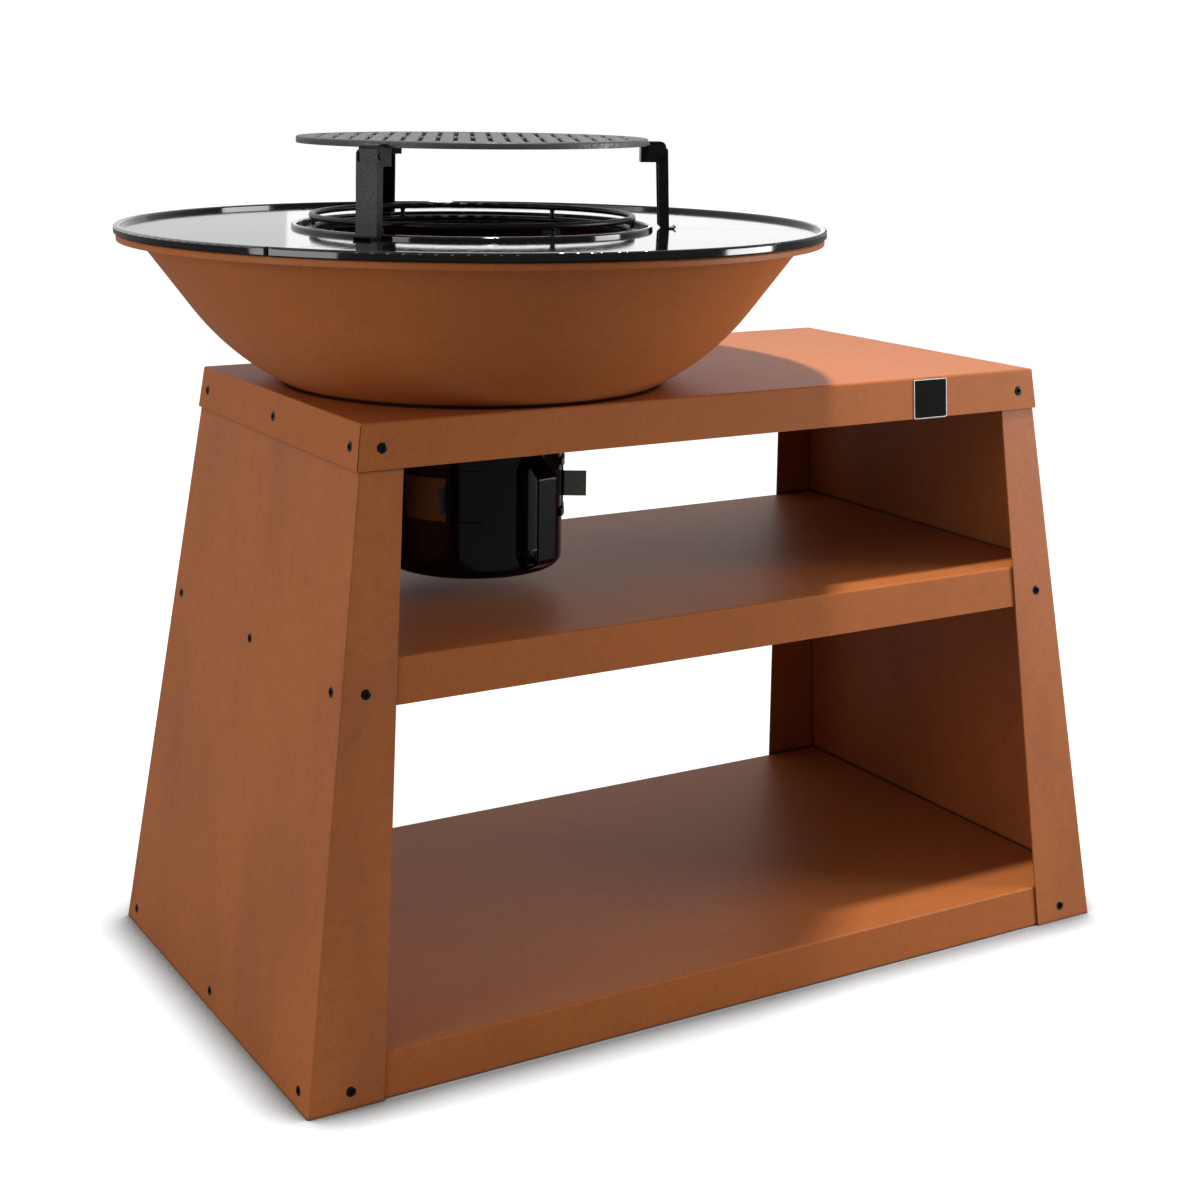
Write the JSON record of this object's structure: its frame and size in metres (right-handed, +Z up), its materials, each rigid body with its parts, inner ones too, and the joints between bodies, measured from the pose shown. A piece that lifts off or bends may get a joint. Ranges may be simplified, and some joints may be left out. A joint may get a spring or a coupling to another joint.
{
  "type": "fire bowl griddle",
  "caption": "Outdoor fire bowl with a ring griddle, raised round grate, wire fire guard and slide-out ash bucket, on a tapered folded-steel stand with shelves.",
  "frame": {"origin": "on the floor, at the middle of the box round the whole part", "axes": "+Z up, +X along the length towards the free end of the top panel, -Y towards the side that the ash bucket is pulled out of"},
  "size_m": [1.1611, 0.8, 0.989],
  "materials": {
    "corten_coat": "matt fine-textured powder coat in a rust colour",
    "black_fastener": "black oxide",
    "zinc_fastener": "zinc plated",
    "griddle_enamel": "gloss black enamel",
    "grate_enamel": "satin black enamel",
    "black_frame": "semi-gloss black heat-proof coat",
    "fire_steel": "raw dark steel",
    "bucket_enamel": "gloss black enamel",
    "stainless": "brushed stainless"
  },
  "bodies": {
    "stand": {"top_panel": "corten_coat", "left_side_panel": "corten_coat", "right_side_panel": "corten_coat", "middle_shelf": "corten_coat", "bottom_shelf": "corten_coat", "top_panel_screws": "black_fastener", "top_panel_nuts": "zinc_fastener", "middle_shelf_screws": "black_fastener", "middle_shelf_nuts": "zinc_fastener", "bottom_shelf_screws": "black_fastener", "bottom_shelf_nuts": "zinc_fastener", "fire_bowl": "corten_coat", "griddle_support": "black_frame", "griddle_segment_1": "griddle_enamel", "griddle_segment_2": "griddle_enamel", "griddle_segment_3": "griddle_enamel", "fire_grate": "fire_steel", "ash_chute": "fire_steel", "ash_grid": "fire_steel", "bowl_bolts": "zinc_fastener", "bowl_nuts": "zinc_fastener", "bucket_rail_left": "black_frame", "bucket_rail_right": "black_frame", "bucket_stop": "black_frame"},
    "guard": {"guard_lower_ring": "black_frame", "guard_upper_ring": "black_frame", "guard_posts": "black_frame"},
    "grate": {"grate_plate": "grate_enamel", "grate_pins": "black_frame", "grate_shoe_1": "black_frame", "grate_shoe_2": "black_frame", "grate_shoe_3": "black_frame", "grate_leg_1": "black_frame", "grate_leg_2": "black_frame", "grate_leg_3": "black_frame"},
    "bucket": {"ash_bucket": "bucket_enamel", "bucket_handle": "bucket_enamel", "handle_rivets": "bucket_enamel", "shutter_guides_left": "bucket_enamel", "shutter_guides_right": "bucket_enamel"},
    "left_shutter": {"vent_shutter_left": "stainless"},
    "right_shutter": {"vent_shutter_right": "stainless"}
  },
  "joints": [
    {"name": "guard_lift", "type": "slide", "parent": "stand", "child": "guard", "axis": [0, 0, 1], "range_m": [0, 0.06]},
    {"name": "grate_lift", "type": "slide", "parent": "stand", "child": "grate", "axis": [0, 0, 1], "range_m": [0, 0.3]},
    {"name": "ash_bucket_slide", "type": "slide", "parent": "stand", "child": "bucket", "axis": [0, -1, 0], "range_m": [0, 0.36]},
    {"name": "left_vent_shutter_turn", "type": "hinge", "parent": "bucket", "child": "left_shutter", "pos_m": [-0.1801, 0, 0.59], "axis": [0, 0, 1], "range_deg": [0, 24]},
    {"name": "right_vent_shutter_turn", "type": "hinge", "parent": "bucket", "child": "right_shutter", "pos_m": [-0.1801, 0, 0.59], "axis": [0, 0, -1], "range_deg": [-9.4, 14.6]}
  ]
}
